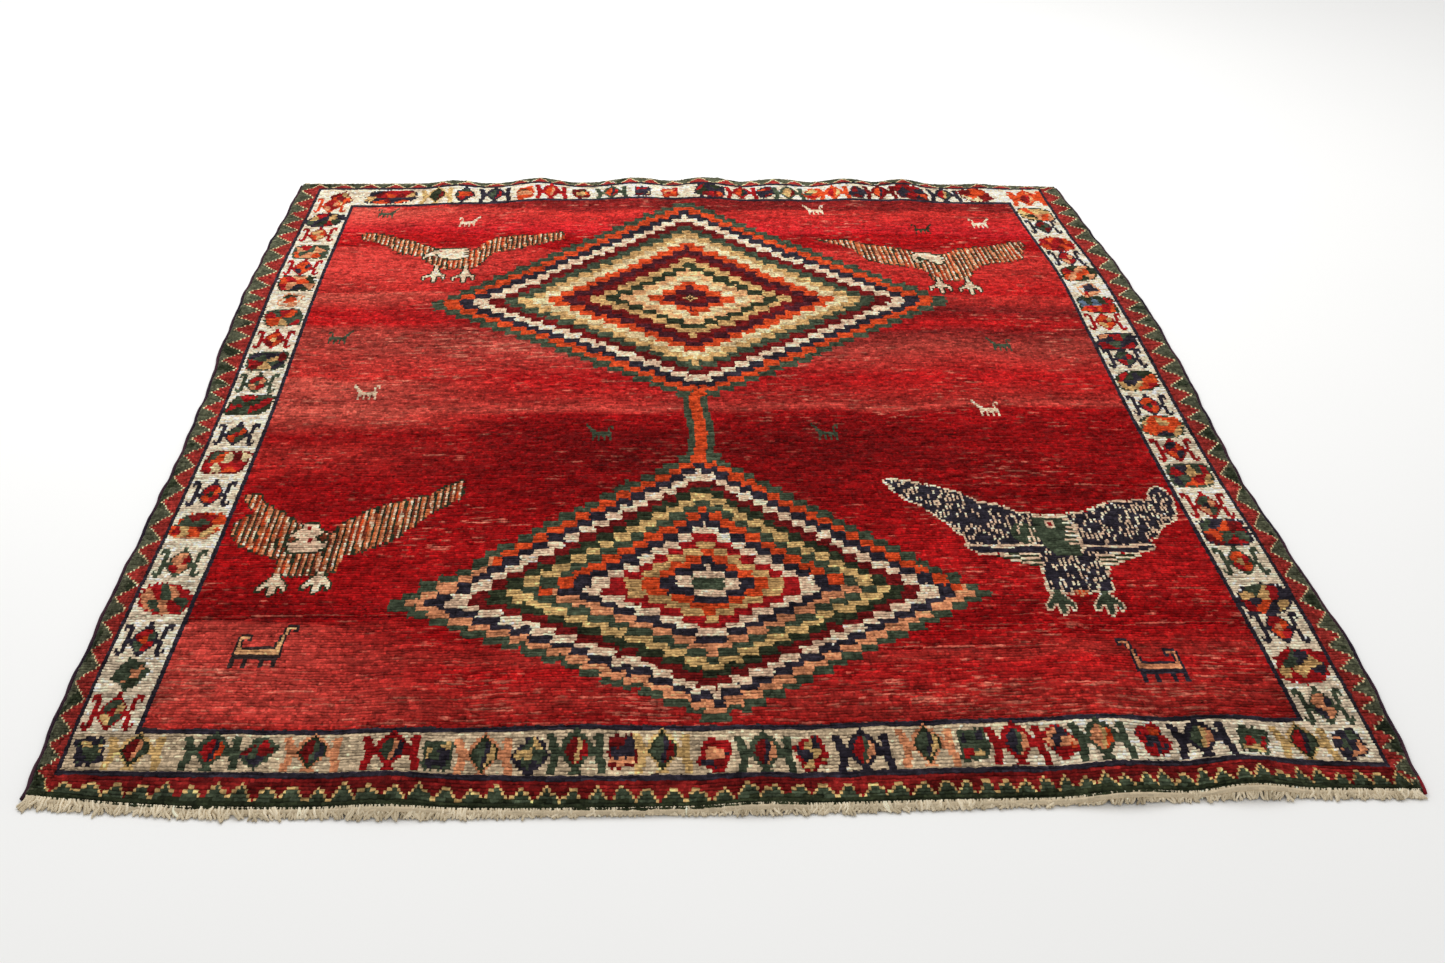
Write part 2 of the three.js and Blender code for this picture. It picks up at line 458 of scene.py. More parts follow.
BACK_BORDER = """
-690 flower maroon crimson yellow maroon
-590 long navy maroon tan orange navy crimson
-500 beast yellow moss maroon moss
-445 flower navy crimson orange green crimson
-385 beast navy green crimson navy
-325 flower orange orange salmon moss orange
-270 beast crimson orange crimson salmon
-210 flower maroon orange tan maroon moss
-150 beast green orange crimson navy
-85 flower navy maroon navy cream crimson
-30 flower crimson orange salmon orange orange
50 patchwork navy maroon moss orange crimson
115 beast crimson orange navy moss
165 flower navy maroon navy orange crimson
210 beast green tan maroon tan
260 flower orange crimson green orange yellow
305 beast orange crimson yellow orange
352 flower navy maroon navy navy maroon
400 beast maroon orange crimson navy
462 patchwork maroon orange navy maroon crimson
530 beast navy crimson green tan
595 patchwork maroon orange cream maroon orange
700 beast orange maroon crimson salmon
"""
LEFT_BORDER = """
145 hooked crimson green yellow crimson
215 flower green salmon green green moss
285 hooked navy crimson green orange
370 patchwork crimson orange salmon green crimson
455 hooked green orange crimson salmon
545 patchwork orange crimson green yellow maroon
630 hooked navy crimson orange moss
715 patchwork maroon crimson green cream orange
800 hooked navy green orange crimson
890 patchwork moss tan crimson maroon green
965 hooked green crimson salmon green
1040 patchwork green crimson tan navy maroon
1115 hooked crimson orange maroon tan
1200 patchwork green orange tan crimson orange
1270 flower salmon ivory orange ivory moss
1345 patchwork moss crimson orange navy salmon
1410 hooked crimson orange navy orange
1485 patchwork green crimson orange salmon green
1565 hooked crimson tan orange salmon
1640 patchwork navy green crimson tan moss
1712 hooked orange crimson salmon crimson
"""
RIGHT_BORDER = """
140 hooked green salmon navy salmon
215 patchwork crimson green tan navy crimson
295 hooked navy crimson orange salmon
360 patchwork navy green crimson orange tan
450 hooked green orange crimson tan
520 patchwork navy maroon green orange crimson
590 hooked crimson green salmon navy
675 patchwork green tan navy crimson orange
745 hooked crimson navy orange crimson
820 patchwork green orange navy tan orange
890 hooked navy orange crimson moss
970 patchwork moss tan crimson navy orange
1050 hooked navy green crimson navy
1115 patchwork navy crimson green salmon crimson
1190 hooked crimson orange tan crimson
1260 patchwork moss orange blue crimson tan
1325 flower salmon crimson navy ivory navy
1395 patchwork moss tan orange crimson salmon
1465 hooked navy crimson salmon crimson
1530 patchwork crimson orange orange maroon crimson
1615 hooked navy maroon green moss
1680 patchwork moss orange tan salmon yellow
1760 beast orange maroon salmon crimson
"""


def stamp_border(table, place_of):
    """Stamps one border's motifs; place_of turns a place along the border into x and y."""
    for line in table.split("\n")[1:-1]:
        along, form, outline, *fills = line.split()
        if form in PATCHED:
            patched(form, *place_of(float(along)), outline, fills)
        else:
            rim = "moss" if outline in ("yellow", "salmon") else outline
            stamp(FORMS[form], *place_of(float(along)), dict(zip("doabc", (rim, outline, *fills))))


def beside(table, line, place):
    """How far the middle of the ivory border lies, between two lines of a table, at a share of the way."""
    low, high = line
    return (spline(table[low], place) + spline(table[high], place)) / 2


stamp_border(FRONT_BORDER, lambda x: (x, beside(CROSSWISE, (8.5, 23.5), x / WIDTH + 0.5)))
stamp_border(BACK_BORDER, lambda x: (x, beside(CROSSWISE, (333.5, 348.5), x / WIDTH + 0.5)))
stamp_border(LEFT_BORDER, lambda y: (beside(LENGTHWISE, (16, 41), y / LENGTH), y))
stamp_border(RIGHT_BORDER, lambda y: (beside(LENGTHWISE, (495, 520), y / LENGTH), y))

# %% [markdown]
# ## The two diamonds
# Each diamond is a set of stepped outlines inside each other. It is woven in courses of a few rows, and in
# each course every outline is a brick a few knots wide. From course to course the bricks shift by a little
# less than their width, so each outline is a connected staircase. One short list of dyes from the middle
# outwards and the slopes of the two halves draw the whole diamond.

# %% Diamonds and the bar that joins them
FRONT_RINGS = (
    "green ivory navy orange tan crimson ivory navy {0} green yellow moss maroon ivory navy {0} green"
)
BACK_RINGS = (
    "maroon plum orange cream peach moss tan maroon plum orange cream tan green"
    " maroon ivory navy orange green"
)
DIAMONDS = [
    dict(
        x=-12, y=400, left=424, right=373, up=341, down=278, droop=0.10, courses=((3, 3, 4), (3, 3, 2)),
        upper=FRONT_RINGS.format("orange"), lower=FRONT_RINGS.format("salmon"),
    ),
    dict(
        x=-5, y=1283, left=467, right=465, up=442, down=375, droop=0.02, courses=((4, 4, 3), (3, 4, 3)),
        upper=BACK_RINGS, lower=BACK_RINGS,
    ),
]
CENTRE_COURSE = 5  # rows of the course across the waist


def course_middles(middle_row, heights_up, heights_down):
    """For each row of the rug, the row in the middle of its course, counted out from the waist."""
    middles = np.arange(ROWS, dtype=float)
    for step, heights in ((1, heights_up), (-1, heights_down)):
        row, turn = middle_row + step * (CENTRE_COURSE // 2 + 1), 0
        while 0 < row < ROWS - 1:
            height = heights[turn % len(heights)]
            block = np.clip(row + step * np.arange(height), 0, ROWS - 1)
            middles[block] = block.mean()
            row, turn = row + step * height, turn + 1
    middles[middle_row - CENTRE_COURSE // 2:middle_row + CENTRE_COURSE // 2 + 1] = middle_row
    return middles


def diamond(x, y, left, right, up, down, droop, courses, upper, lower):
    """Paints one diamond, by the number of each knot's outline from the middle outwards.

    Above the waist the number is (distance across * (1 + droop / slope) + height / slope) / brick. Height is
    that of the course, and slope is the half's rise over its run. Below it the droop's sign is turned.
    """
    row, _ = nearest_knot(x, y)
    middles = course_middles(row, *courses)
    dyes_up = np.array([CODE[name] for name in upper.split()])
    dyes_down = np.array([CODE[name] for name in lower.split()])
    bricks = len(dyes_up)
    jog = np.round(1.5 * (smooth_noise(chart.shape, 40, 8) - 0.5)).astype(int)
    middles = middles[np.clip(R + jog, 0, ROWS - 1)]
    height = (middles - row) * (LENGTH / ROWS)
    for side, reach in ((-1, left), (1, right)):
        across = (KNOT_X - x) * side
        brick = reach / bricks
        above = height > -droop * across
        rise, fall = up / reach, down / reach
        number_up = (across * (1 + droop / rise) + height / rise) / brick
        number_down = (across * (1 - droop / fall) - height / fall) / brick
        number = np.where(above, number_up, number_down)
        nearest_edge = np.clip(np.round(number), 0, bricks).astype(int)
        number = number + rng.uniform(-0.13, 0.13, (ROWS, bricks + 2))[middles.astype(int), nearest_edge]
        number = number + rng.uniform(-0.05, 0.05, (ROWS, bricks + 2))[R, nearest_edge]
        level = np.clip(np.floor(number), 0, bricks - 1).astype(int)
        dyes = np.where(above, dyes_up[level], dyes_down[level])
        inside = (across >= 0) & (number < bricks) & field
        chart[inside] = dyes[inside]


for sizes in DIAMONDS:
    diamond(**sizes)

# A small cross fills the middle of the back diamond. The orange of the front one is paler near its side tips.
stamp(("....t....", "..mtmtm..", "tttm.mttt", "..mtmtm..", "....t...."), -5, 1283, dict(t="tan", m="moss"))
near_left_tip = (KNOT_X < -300) & (KNOT_Y > 330) & (KNOT_Y < 520)
near_right_tip = (KNOT_X > 322) & (KNOT_X < 380) & (KNOT_Y < 520)
paint((chart == CODE["orange"]) & (near_left_tip | near_right_tip), "salmon")

# The bar between the diamonds is orange with a green rim.
bar_from_middle = np.abs(KNOT_X + 9 - 3 * np.sin(KNOT_Y / 30))
bar = (chart == CODE["red"]) & (KNOT_Y > 700) & (KNOT_Y < 940)
paint(bar & (bar_from_middle < 20), "green")
paint((bar_from_middle < 9) & (KNOT_Y > 712) & (KNOT_Y < 932), "orange")

# %% [markdown]
# ## Birds
# Four birds with spread wings sit in the corners of the field. Each is one closed outline, written point by
# point, and every knot inside it gets the bird's plumage. Three birds are striped along the warps. The fourth
# is flecked and has a pale outline, a belt, and long feathers below the belt. Heads and feet are charted.

# %% Outlines, heads and feet of the birds
BIRDS = """
-660,615 -657,628 -640,625 -630,600 -610,588 -590,567 -572,548 -550,520 -527,522 -513,548 -498,563
-478,585 -450,600 -420,612 -400,623 -380,645 -358,662 -354,640 -357,610 -373,600 -395,573 -416,540
-434,512 -470,486 -502,468 -507,434 -533,424 -585,424 -585,464 -622,482 -648,500 -660,523 -662,550
-654,566 -642,572 -640,584 -652,597

252,666 286,660 332,641 362,624 381,600 408,592 432,574 458,566 500,566 529,572 572,597 630,602 638,628
648,638 661,634 664,602 655,553 633,540 616,510 602,503 605,482 572,472 530,470 526,425 520,378 436,378
437,412 441,470 384,472 358,473 346,488 350,512 337,524 330,547 310,575 292,601 272,619 263,638

-624,1572 -598,1572 -557,1553 -527,1535 -496,1512 -455,1484 -418,1484 -400,1500 -384,1536 -347,1560
-295,1567 -240,1584 -238,1550 -265,1537 -316,1508 -362,1488 -379,1465 -394,1419 -421,1410 -458,1412
-484,1435 -495,1458 -520,1475 -544,1481 -567,1510 -593,1534 -619,1546

248,1552 273,1549 308,1547 339,1525 387,1513 414,1501 447,1470 488,1484 502,1502 533,1512 573,1517
617,1540 645,1536 624,1462 599,1449 548,1437 524,1408 508,1368 478,1360 441,1365 436,1407 420,1418
398,1428 357,1441 331,1459 308,1506 272,1537
""".split("\n\n")
FLECKED, FLECKED_X = 1, 480  # the number and the middle of the flecked bird
LONG_FEATHERS = (
    "376,468 410,470 442,470 441,434 426,442 401,452 390,458",
    "519,470 581,464 552,448 530,434 524,425 522,444",
)

HEAD_PLACES = [(-555, 513), (481, 516), (-454, 1478), (450, 1460)]
HEADS = """
.......ooooooo.......
......oiiiiiiio......
......oiirriiio......
.....oiiirriiiioo....
....oiiiiiiiiiiiioo..
..ooiiiiiiiiiiiioaio.
.oiiiiiiiiiiiiiooaao.
.ooaoiiiiiiiiiooaaao.
.oaaaooiiiirriiooaoo.
.ooaooiiiiirriiiiooio
.oiiiiiiiiiiiiiiiiiio
.ooiiiiiiiiiiiiiiiiio
..oiiiiiiiiiiiiiiiio.
..ooiiiiiiiiiiiiiooo.
...oooooooooooooo....

..iiiiiiiiiiiiiiiii....
.gggggggggggggggiii....
.ggggggiiiigggggggii...
.ggggggirriggggiiiiii..
.ggggggirriggggggggii..
.ggggggiiiigggggiiiii..
.ggggggggggggggggggii..
.ggggggggggggggiiiiii..
.ggggggggggggggggggii..
.gggggggggggggiiiiiii..
.ggggggggggggggggggii..
..gggggggggggiiiiiiii..
..gggggggggggggggggii..
..ggggggggggggiiiiiii..
..gggggggggggggggggii..
...ggggggggggggggggii..
....ggggggggggggggii...
.....gggggggggggggi....
......gggggggggggg.....

...........oooooooooooooooo...
.......oooiiiiiiiiiiiiiiiiiioo
.....ooiiirriiiiiiiiiiiiiiooo.
....oiiiiiiiiiiiiiiiiiiiiiiiio
..ooiiiiiiiiiiiiiiiiiiiiiiooo.
.oiiiiiiooiiiiiiiiiiiiiiiiiiio
.oiiiooo.oiiiiiiiiiiiiiiiiooo.
oiioo.....oiiiiiiiiiiiiiiiiiio
oioo.......oiiiiiiiiiiiiiiiio.
.oo..........ooooiiiiiiiioo...
.................oooooooo.....

....ooooooooooo.......
..ooiiiiiiiiiioooooo..
.oiiiiiiiiiiiiiiooiio.
oiiiiiiiiiiiiiiiiiioo.
oiiioooiiiiiiiiiiiiiio
oiioooooiiiiiiiiiiioo.
oiiioobboooiiiiiiiiiio
.oiioo...ooiiiiiiiioo.
.oiiio......ooiiiiio..
..oooo.......ooiiioo..
..............oooo....
""".split("\n\n")
FOOT = """
.....oiiio....
.....oiiio....
....oiiiiio...
...oiiiiiiio..
..oiiiiiiiiio.
.oiiiiiiiiiiio
oiiiooiiiooiio
oiio.oiiio.oio
ooo..oiiio.oo.
.....oiio.....
......oo......
""".split()
THIN_FOOT = """
......oiio.....
......oiio.....
......oiio.....
......oiio.....
......oiiio....
.....oiiiio....
.....oiiiiio...
...ooiiiiiiioo.
.ooiiiiiiiiiiio
oiiiooiiioooiio
oio...oiio..oio
oio...oiio..oio
.o....oiio...o.
......oiio.....
.......oo......
""".split()
FEET = [
    (0, -581, 403), (0, -525, 403), (1, 446, 353), (1, 510, 353),
    (2, -468, 1384), (2, -416, 1384), (3, 450, 1338), (3, 503, 1338),
]

# %% [markdown]
# A bird is painted from the outside in: a broken ring around it, its plumage, then its head and its feet.
# Each plumage is a rule for the whole area, because its stripes or flecks follow the weave and not the bird.


# %% Drawing the birds
def within(outline):
    """The knots inside a closed outline of x,y pairs.

    A line drawn from such a knot to the right cuts the outline an odd number of times.
    """
    corners = np.array([[float(value) for value in pair.split(",")] for pair in outline.split()])
    odd = np.zeros(KNOT_X.shape, bool)
    for (x1, y1), (x2, y2) in zip(corners, np.roll(corners, -1, axis=0)):
        between = (y1 > KNOT_Y) != (y2 > KNOT_Y)
        odd ^= between & (KNOT_X < x1 + (KNOT_Y - y1) * (x2 - x1) / (y2 - y1 or 1))
    return odd


def striped(shape):
    """Stripes along the warps, a little over three columns to a turn: pale, dark, and a brown that varies."""
    drift = R / 41 + 1.3 * smooth_noise(chart.shape, 34, 40)
    turn = np.floor(0.92 * C + drift) % 3
    patch = smooth_noise(chart.shape, 8, 3)
    paint(shape, "rust")
    paint(shape & (turn == 2) & (patch > 0.40), "amber")
    paint(shape & (turn == 2) & (patch > 0.70), "orange")
    paint(shape & (turn == 1) & (patch < 0.66), "moss")
    paint(shape & (turn == 0), "salmon")
    paint(shape & (turn == 0) & (rng.random(chart.shape) < 0.45), "ivory")


def flecked(shape):
    """Navy with short crooked ivory dashes, one knot wide and up to three long."""
    start = (rng.random(chart.shape) < 0.24) & ((C + R // 6) % 2 == 0)
    second = np.roll(start, 1, axis=0)
    third = np.roll(start, (2, 1), axis=(0, 1)) & (rng.random(chart.shape) < 0.25)
    paint(shape, "navy")
    green_patch = np.hypot((KNOT_X - 434) / 20, (KNOT_Y - 520) / 28) < 1
    paint(shape & green_patch, "green")
    paint(shape & (start | second | third), "ivory")


def belt_and_feathers(shape):
    """Ivory lines over and under a navy belt, and rows of ivory and dark feathers below it on both sides."""
    wings = shape & (np.abs(KNOT_X - FLECKED_X) > 26)
    paint(wings & (KNOT_Y > 474) & (KNOT_Y < 485), "navy")
    paint(wings & (KNOT_Y >= 485) & (KNOT_Y < 490.5), "ivory")
    for outline in LONG_FEATHERS:
        feathers = within(outline)
        sag = ((KNOT_X - FLECKED_X) / 46) ** 2 / 2
        paint(feathers, "moss")
        paint(feathers & (np.floor(R + sag) % 2 == 0), "ivory")


for number, outline in enumerate(BIRDS):
    shape = within(outline)
    pale = number == FLECKED
    ring = grown(shape) & ~shape & (rng.random(chart.shape) < (0.88 if pale else 0.6))
    paint(ring, "ivory" if pale else "moss")
    if pale:
        flecked(shape)
        belt_and_feathers(shape)
    else:
        striped(shape)
    head_dyes = dict(o="moss", i="ivory", r="crimson", a="rust", b="moss", g="green")
    stamp(HEADS[number].split(), *HEAD_PLACES[number], head_dyes)
    foot_dyes = dict(o="ivory", i="green") if pale else dict(o="moss", i="ivory")
    for foot_of, foot_x, foot_y in FEET:
        if foot_of == number:
            stamp(FOOT if number < 2 else THIN_FOOT, foot_x, foot_y, foot_dyes)
stamp(("ssrsrss", ".srssr.", "..ss..."), FLECKED_X, 372, dict(s="salmon", r="orange"))  # between its feet
print("knots in the birds:", sum(int(within(outline).sum()) for outline in BIRDS))

# %% [markdown]
# ## Goats
# Small goats are scattered over the field, dark green or ivory, and two larger ones with a salmon body stand
# near the front end. Two charts are enough, turned to the left or to the right.

# %% Goats
GOAT = """
o.............
oo..........oo
.oo........o.o
..oo.......o..
..ooo......o..
...oooooooooo.
...oooooooooo.
...oo.o.oo.oo.
...o..o..o..o.
...o..o..o..o.
""".split()
LARGE_GOAT = """
.....................ooooo...
....................osssso...
....................oso.oo...
....................oso......
...ooooo...........oso.......
..osssso...........oso.......
..oso.oo...........oso.......
..oso.............osso.......
..oso.............osso.......
..ossoooooooooooooosso.......
..osssssssssssssssssso.......
..osssssssssssssssssso.......
..oooooooooooooooooooo.......
..ooooooooooooooooooo........
..oo...oo.....oo...oo........
..oo...oo.....oo...oo........
..oo...oo.....oo...oo........
""".split()
GOATS = """
-160 800 green left
185 800 green left
-600 1125 green right
513 1100 green left
-585 1672 green right
460 1600 moss right
-530 930 ivory left
450 880 ivory left
-425 1632 ivory right
255 1697 ivory left
580 1630 ivory right
"""
for line in GOATS.split("\n")[1:-1]:
    x, y, dye, facing = line.split()
    stamp(GOAT, float(x), float(y), dict(o=dye), flip=facing == "right")
stamp(LARGE_GOAT, -568, 272, dict(o="brown", s="peach"))
stamp(LARGE_GOAT, 530, 228, dict(o="navy", s="salmon"), flip=True)
paint((chart == CODE["ivory"]) & field, "pearl")  # the field has a warmer ivory than the borders

# %% [markdown]
# ## Uneven dye
# The red of the field changes from one batch of yarn to the next, and wear has paled it in short streaks.
# The batches are a short table of named reds along the length, for the left and the right side. Each knot has
# two faces in the mesh, so the colours are worked out for half rows, and a streak can be thinner than a row.

# %% Red batches
REDS = dict(
    deep=(146, 9, 12),
    blood=(164, 13, 16),
    bright=(184, 24, 25),
    coral=(192, 46, 40),
    rose=(206, 82, 68),
    pink=(208, 31, 37),
    earth=(176, 62, 52),
    umber=(126, 27, 25),
    worn=(200, 67, 57),
    faded=(168, 42, 36),
    warm=(212, 62, 54),
)

# y along the length, and the reds of the left and the right side there. The paler reds towards the back end
# are partly batches and partly painted sheen, for the light that grazes the far pile.
BATCHES = """
90 blood blood
150 worn faded
222 worn bright
240 worn faded
290 worn blood
318 worn blood
330 deep deep
400 blood bright
540 blood blood
600 blood deep
650 blood deep
750 coral blood
800 blood deep
868 rose blood
884 rose worn
905 earth faded
975 rose bright
990 coral bright
1090 earth earth
1150 earth umber
1180 bright bright
1225 bright umber
1290 rose coral
1302 coral bright
1400 warm coral
1500 warm coral
1512 blood blood
1565 bright blood
1580 pink pink
1685 rose coral
1700 coral umber
1770 earth umber
"""
half_shape = (HALF_ROWS, COLUMNS)
half_y = np.repeat(KNOT_Y, 2, axis=0)
half_x = np.repeat(KNOT_X, 2, axis=0)

batches = [line.split() for line in BATCHES.split("\n")[1:-1]]
stations = [float(y) for y, _, _ in batches]
wander = 20 * (smooth_noise(half_shape, 120, 70) - 0.5) + 22 * (smooth_noise(half_shape, 14, 26) - 0.5)
right_share = np.clip(2.1 + half_x / 260 + 0.7 * (smooth_noise(half_shape, 60, 60) - 0.5), 0, 1)
red = np.empty((*half_shape, 3))
for channel in range(3):
    left_red, right_red = (
        np.interp(half_y + wander, stations, [linear(REDS[batch[side]])[channel] for batch in batches])
        for side in (1, 2))
    red[..., channel] = left_red + (right_red - left_red) * right_share

# %% [markdown]
# Hand-spun yarn takes the dye unevenly, and a worn pile shows it. It is smooth noise of several sizes here,
# because the causes have those sizes too: a knot, a length of yarn, a day's work, a trodden place.

# %% Dyes, pale streaks, uneven yarn and painted shade
code = np.repeat(chart, 2, axis=0)
thick_line = np.roll(np.repeat(end_line, 2, axis=0), 1, axis=0)
code[thick_line] = CODE["navy"]  # the ends' dark lines are a row and a half thick
colours = linear(np.array([DYES[name] for name in NAMES]))[code]
in_red = code == CODE["red"]
colours[in_red] = red[in_red]

# Two noises that are long across the rug and one half row thick make the streaks, which gather in patches.
thin = smooth_noise(half_shape, 1, 3.5)
long = smooth_noise(half_shape, 1, 12)
patches = smooth_noise(half_shape, 22, 34)
near_front = np.exp(-(((half_y - 165) / 60) ** 2))
lower_left = np.exp(-(((half_y - 1080) / 130) ** 2)) * (half_x < 200)
pull = 0.36 * np.clip(patches - 0.36, 0, 1) + 0.16 * near_front + 0.12 * lower_left
streaks = np.clip((0.45 * thin + 0.55 * long - 0.83 + pull) * 5, 0, 1)

# Lines where one thin pale yarn ran across, as: y, from x, to x.
PALE_LINES = [(333, -690, -390), (310, 320, 660), (651, 330, 660), (262, 180, 420), (1672, 200, 640)]
groove = np.zeros(half_shape)
for y, start, stop in PALE_LINES:
    line_row = nearest_knot((start + stop) / 2, y)[0] * 2 + np.round(1.4 * np.sin(half_x / 90))
    on_line = (np.arange(HALF_ROWS)[:, None] == line_row) & (half_x > start) & (half_x < stop)
    streaks = np.maximum(streaks, on_line * (0.3 + 0.7 * thin))
    groove = np.maximum(groove, np.roll(on_line, -1, axis=0))
pale = linear(YARNS["worn"])
share = (0.46 * streaks * in_red)[..., None]
colours = colours * (1 - share) + pale * share

# Every knot differs a little from its neighbours: along its row, in patches, and on its own. Some spots are
# darker. Each line of the table is a noise's strength, and the half rows and the columns of its cells.
UNEVEN = [(0.36, 1, 5), (0.80, 2, 2.2), (0.42, 9, 17), (0.26, 50, 45)]
uneven_and_shade = sum(strength * (smooth_noise(half_shape, *cell) - 0.5) for strength, *cell in UNEVEN)
uneven_and_shade -= 1.6 * np.clip(smooth_noise(half_shape, 1.6, 5) - 0.66, 0, 1)
uneven_and_shade += np.repeat(rng.normal(0, 0.16, (ROWS, COLUMNS)), 2, axis=0) + rng.normal(0, 0.10, half_shape)

# The back half of each row lies in shade, which shows most as crooked dark lines in the pale dyes.
PALE = ("ivory", "pearl", "sand", "cream", "tan", "peach", "yellow")
pale_dyes = np.isin(code, [CODE[name] for name in PALE])
behind = (np.arange(HALF_ROWS) % 2)[:, None]
uneven_and_shade -= behind * np.where(pale_dyes, 0.50, 0.22) * (0.3 + 1.2 * smooth_noise(half_shape, 2, 6))
uneven_and_shade += np.where(pale_dyes, 0.17, 0.07) + 0.22 * np.isin(code, [CODE["ivory"], CODE["pearl"]])

# The red is deepest between the two diamonds.
uneven_and_shade -= 0.7 * in_red * np.exp(-((half_x / 430) ** 2) - ((half_y - 750) / 80) ** 2)

# The pile is painted a little darker at the front end and paler and whiter towards the back end.
# This is painted sheen, for the light that grazes the far pile.
painted_sheen_to_back = (half_y / LENGTH)[..., None] * np.array([0.22, 0.235, 0.25])
colours = np.clip(colours * (0.91 + painted_sheen_to_back) * np.exp(uneven_and_shade)[..., None], 0, 1)
print("mean colour of the rug, linear:", colours.mean(axis=(0, 1)).round(3))

# %% [markdown]
# ## Materials
# Wool pile is matt, with a soft sheen where light grazes the fibre ends. The knots carry their dye as a
# colour attribute, and the shader adds what is finer than a knot: fibres, and painted shade in the hollows
# between the rows.
# The effects are node groups that give out colours and heights, so that each material keeps its own shader.


# %% Node helpers
def node_group(name, inputs, outputs):
    """A new shader node group with sockets given as (name, type, default)."""
    group = bpy.data.node_groups.new(name, "ShaderNodeTree")
    for label, kind, default in inputs:
        group.interface.new_socket(label, in_out="INPUT", socket_type=kind).default_value = default
    for label, kind in outputs:
        group.interface.new_socket(label, in_out="OUTPUT", socket_type=kind)
    return group, group.nodes.new("NodeGroupInput").outputs, group.nodes.new("NodeGroupOutput").inputs


def add(tree, kind, settings=(), **inputs):
    """A node with its properties set, and its inputs set or linked by name, with underscores for spaces.

    Where names aren't unique, the letter i and a number stand for an input's place in the node's list.
    """
    node = tree.nodes.new(kind)
    for key, value in dict(settings).items():
        setattr(node, key, value)
    for key, value in inputs.items():
        names = [socket.name for socket in node.inputs]
        label = key.replace("_", " ")
        socket = node.inputs[names.index(label)] if label in names else node.inputs[int(key[1:])]
        if isinstance(value, bpy.types.NodeSocket):
            tree.links.new(value, socket)
        else:
            socket.default_value = value
    return node


def math_node(tree, operation, a, b=0.0):
    """One Math node's value."""
    return add(tree, "ShaderNodeMath", dict(operation=operation), i0=a, i1=b).outputs[0]


def mixed(tree, share, a, b, blend="MIX"):
    """One Mix node's colour."""
    settings = dict(data_type="RGBA", blend_type=blend)
    return add(tree, "ShaderNodeMix", settings, i0=share, i6=a, i7=b).outputs[2]


def noise(tree, place, scale, detail, roughness=0.5):
    """One Noise Texture's value."""
    node = add(tree, "ShaderNodeTexNoise", Vector=place, Scale=scale, Detail=detail, Roughness=roughness)
    return node.outputs["Fac"]


def bumped(tree, distance, height, **normal):
    """The normal of a surface that is raised by a distance in metres where the height is 1."""
    return add(tree, "ShaderNodeBump", Strength=1.0, Distance=distance, Height=height, **normal).outputs[0]


# %% [markdown]
# Two effects are shared: the fibres of every yarn, and the plain weave of the back and of the twisted yarns.


# %% Two shared effects
def fibre_group():
    """Speckle and height of a yarn: fine noise for its fibres, and a coarser one for tufts."""
    group, given, out = node_group(
        "wool fibres",
        [("Colour", "NodeSocketColor", (0.5, 0.1, 0.1, 1)), ("Size", "NodeSocketFloat", 1.0),
         ("Speckle", "NodeSocketFloat", 0.25), ("Shade", "NodeSocketFloat", 1.0)],
        [("Colour", "NodeSocketColor"), ("Height", "NodeSocketFloat")])
    place = add(group, "ShaderNodeTexCoord").outputs["Object"]
    scale = dict(operation="SCALE")
    scaled = add(group, "ShaderNodeVectorMath", scale, i0=place, i3=given["Size"]).outputs[0]
    fine = math_node(group, "MULTIPLY", noise(group, scaled, 1100.0, 3.0, 0.6), 0.45)
    tuft = math_node(group, "MULTIPLY", noise(group, scaled, 330.0, 2.0), 0.55)
    height = math_node(group, "ADD", fine, tuft)
    centred = math_node(group, "SUBTRACT", height, 0.5)
    spread = math_node(group, "ADD", math_node(group, "MULTIPLY", centred, given["Speckle"]), 1.0)
    factor = math_node(group, "MULTIPLY", spread, given["Shade"])
    grey = add(group, "ShaderNodeCombineColor", Red=factor, Green=factor, Blue=factor).outputs[0]
    group.links.new(mixed(group, 1.0, given["Colour"], grey, "MULTIPLY"), out["Colour"])
    group.links.new(height, out["Height"])
    return group


def weave_group():
    """Height of a plain weave on the UV map: sin(across * count) * sin(along * count), in full turns."""
    group, given, out = node_group(
        "weave",
        [("Across", "NodeSocketFloat", 100.0), ("Along", "NodeSocketFloat", 100.0)],
        [("Height", "NodeSocketFloat")])
    place = add(group, "ShaderNodeUVMap", dict(uv_map="OFBake")).outputs[0]
    axes = add(group, "ShaderNodeSeparateXYZ", Vector=place).outputs
    waves = []
    for axis, count in ((axes[0], given["Across"]), (axes[1], given["Along"])):
        turns = math_node(group, "MULTIPLY", math_node(group, "MULTIPLY", axis, count), 2 * math.pi)
        waves.append(math_node(group, "SINE", turns))
    group.links.new(math_node(group, "MULTIPLY", waves[0], waves[1]), out["Height"])
    return group


FIBRES = fibre_group()
WEAVE = weave_group()


# %% [markdown]
# Each material takes its colour from the piece's colour attribute, so one function can build them all.


